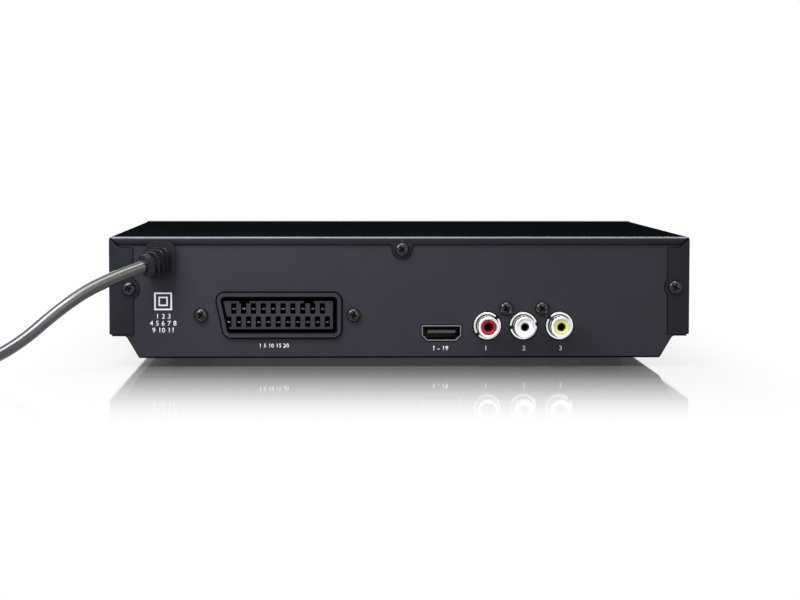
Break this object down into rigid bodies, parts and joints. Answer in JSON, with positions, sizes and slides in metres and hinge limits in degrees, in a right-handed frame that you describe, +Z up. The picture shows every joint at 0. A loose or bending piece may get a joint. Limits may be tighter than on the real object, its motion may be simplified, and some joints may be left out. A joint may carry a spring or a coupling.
{
  "type": "dvd player",
  "caption": "Compact tray-loading disc player in a folded black steel case, seen with its sockets, its loader and drive inside and a coiled mains cord.",
  "frame": {"origin": "on the surface the player stands on, under the middle of the player without its cord", "axes": "+Z up, the tray comes out along -Y, sockets face +Y"},
  "size_m": [0.3616, 0.2428, 0.0505],
  "materials": {
    "cover_paint": "matt black powder coat",
    "panel_paint": "satin charcoal paint",
    "pan_steel": "zinc-plated sheet",
    "front_plastic": "polished black moulding",
    "window_plastic": "smoked acrylic",
    "button_plastic": "satin black moulding",
    "foot_rubber": "matt",
    "black_screw": "black zinc",
    "plated_steel": "zinc plate",
    "socket_plastic": "glass-filled black moulding",
    "nickel": "nickel plate",
    "red_plastic": "moulded",
    "white_plastic": "moulded",
    "yellow_plastic": "moulded",
    "board_laminate": "solder-masked laminate",
    "power_laminate": "phenolic laminate",
    "component_plastic": "moulded",
    "can_aluminium": "sleeved can",
    "core_ferrite": "ferrite and tape",
    "fin_aluminium": "extruded",
    "lead_sleeve": "flexible PVC",
    "ribbon_film": "polyester film",
    "loader_plastic": "moulded",
    "tray_plastic": "fine-textured moulding",
    "clamp_steel": "zinc-plated sheet",
    "clamper_plastic": "moulded",
    "traverse_plastic": "moulded",
    "rod_steel": "ground rod",
    "sled_metal": "die casting",
    "lens_plastic": "coated lens in its holder",
    "gear_plastic": "acetal",
    "belt_rubber": "square belt",
    "motor_steel": "drawn can",
    "cord_sleeve": "satin flexible sleeve",
    "tie_plastic": "flexible strip",
    "plug_plastic": "moulded",
    "pin_brass": "nickel-plated brass"
  },
  "bodies": {
    "case": {"top_cover": "cover_paint", "chassis_pan": "pan_steel", "rear_panel": "panel_paint", "front_panel": "front_plastic", "display_window": "window_plastic", "feet": "foot_rubber", "cover_screws": "black_screw", "socket_screws": "black_screw", "inner_screws": "plated_steel", "front_board": "board_laminate", "tact_switches": "component_plastic", "display_module": "component_plastic", "usb_socket": "nickel", "ir_receiver": "component_plastic", "main_board": "board_laminate", "board_parts": "component_plastic", "capacitors": "can_aluminium", "scart_socket": "socket_plastic", "hdmi_shell": "nickel", "hdmi_tongue": "component_plastic", "jack_block": "socket_plastic", "jack_shells": "nickel", "red_jack_ring": "red_plastic", "white_jack_ring": "white_plastic", "yellow_jack_ring": "yellow_plastic", "power_board": "power_laminate", "transformer": "core_ferrite", "heatsink": "fin_aluminium", "mains_lead_inner": "lead_sleeve", "ribbon_cables": "ribbon_film", "loader_frame": "loader_plastic", "clamp_bridge": "clamp_steel", "loading_motor": "motor_steel", "loading_belt": "belt_rubber", "cord_grommet": "cord_sleeve", "power_cord": "cord_sleeve", "cord_coil": "cord_sleeve", "cord_tie": "tie_plastic", "mains_plug": "plug_plastic", "plug_pins": "pin_brass"},
    "tray": {"disc_tray": "tray_plastic", "tray_door": "front_plastic"},
    "tray_gear": {"tray_gear": "gear_plastic"},
    "pulley_gear": {"pulley_gear": "gear_plastic"},
    "motor_pulley": {"motor_pulley": "gear_plastic"},
    "lift": {"lift_slider": "gear_plastic"},
    "traverse": {"traverse_frame": "traverse_plastic", "spindle_motor": "motor_steel", "guide_rods": "rod_steel", "sled_motor": "motor_steel"},
    "turntable": {"turntable": "clamper_plastic"},
    "clamper": {"disc_clamper": "clamper_plastic"},
    "sled": {"pickup_sled": "sled_metal"},
    "lens": {"pickup_lens": "lens_plastic"},
    "sled_gear": {"sled_gear": "gear_plastic"},
    "power_button": {"power_button": "button_plastic"},
    "eject_button": {"eject_button": "button_plastic"},
    "play_button": {"play_button": "button_plastic"},
    "stop_button": {"stop_button": "button_plastic"}
  },
  "joints": [
    {"name": "tray_slide", "type": "slide", "parent": "case", "child": "tray", "axis": [0, -1, 0], "range_m": [0, 0.136]},
    {"name": "tray_gear_spin", "type": "hinge", "parent": "case", "child": "tray_gear", "pos_m": [-0.079, -0.072, 0.0265], "axis": [0, 0, 1], "range_deg": [-2, 868]},
    {"name": "pulley_gear_spin", "type": "hinge", "parent": "case", "child": "pulley_gear", "pos_m": [-0.065, -0.072, 0.0235], "axis": [0, 0, 1], "range_deg": [-1563, 5]},
    {"name": "motor_pulley_spin", "type": "hinge", "parent": "case", "child": "motor_pulley", "pos_m": [-0.025, -0.072, 0.0235], "axis": [0, 0, 1], "range_deg": [-4305, 5]},
    {"name": "lift_slide", "type": "slide", "parent": "case", "child": "lift", "axis": [-1, 0, 0], "range_m": [0, 0.014]},
    {"name": "traverse_tilt", "type": "hinge", "parent": "case", "child": "traverse", "pos_m": [-0.032, 0.062, 0.024], "axis": [1, 0, 0], "range_deg": [0, 5.01]},
    {"name": "turntable_spin", "type": "hinge", "parent": "traverse", "child": "turntable", "pos_m": [-0.032, -0.022, 0.0335], "axis": [0, 0, 1], "continuous": true},
    {"name": "clamper_spin", "type": "hinge", "parent": "case", "child": "clamper", "pos_m": [-0.032, -0.022, 0.0415], "axis": [0, 0, 1], "continuous": true},
    {"name": "sled_slide", "type": "slide", "parent": "traverse", "child": "sled", "axis": [0, 1, 0], "range_m": [0, 0.034]},
    {"name": "sled_gear_spin", "type": "hinge", "parent": "traverse", "child": "sled_gear", "pos_m": [-0.0605, 0.018, 0.0175], "axis": [0, 0, 1], "range_deg": [-2, 246]},
    {"name": "lens_focus", "type": "slide", "parent": "sled", "child": "lens", "axis": [0, 0, 1], "range_m": [-0.0004, 0.0004], "stiffness_N_per_m": 60},
    {"name": "power_button_press", "type": "slide", "parent": "case", "child": "power_button", "axis": [0, 1, 0], "range_m": [0, 0.0006], "stiffness_N_per_m": 1500},
    {"name": "eject_button_press", "type": "slide", "parent": "case", "child": "eject_button", "axis": [0, 1, 0], "range_m": [0, 0.0006], "stiffness_N_per_m": 1500},
    {"name": "play_button_press", "type": "slide", "parent": "case", "child": "play_button", "axis": [0, 1, 0], "range_m": [0, 0.0006], "stiffness_N_per_m": 1500},
    {"name": "stop_button_press", "type": "slide", "parent": "case", "child": "stop_button", "axis": [0, 1, 0], "range_m": [0, 0.0006], "stiffness_N_per_m": 1500}
  ],
  "couplings": [
    {"joint": "tray_gear_spin", "follows": "tray_slide", "rad_per_m": 111.11},
    {"joint": "pulley_gear_spin", "follows": "tray_slide", "rad_per_m": -200},
    {"joint": "motor_pulley_spin", "follows": "tray_slide", "rad_per_m": -551.52},
    {"joint": "traverse_tilt", "follows": "lift_slide", "rad_per_m": 6.2333},
    {"joint": "clamper_spin", "follows": "turntable_spin", "ratio": 1},
    {"joint": "sled_gear_spin", "follows": "sled_slide", "rad_per_m": 125}
  ]
}
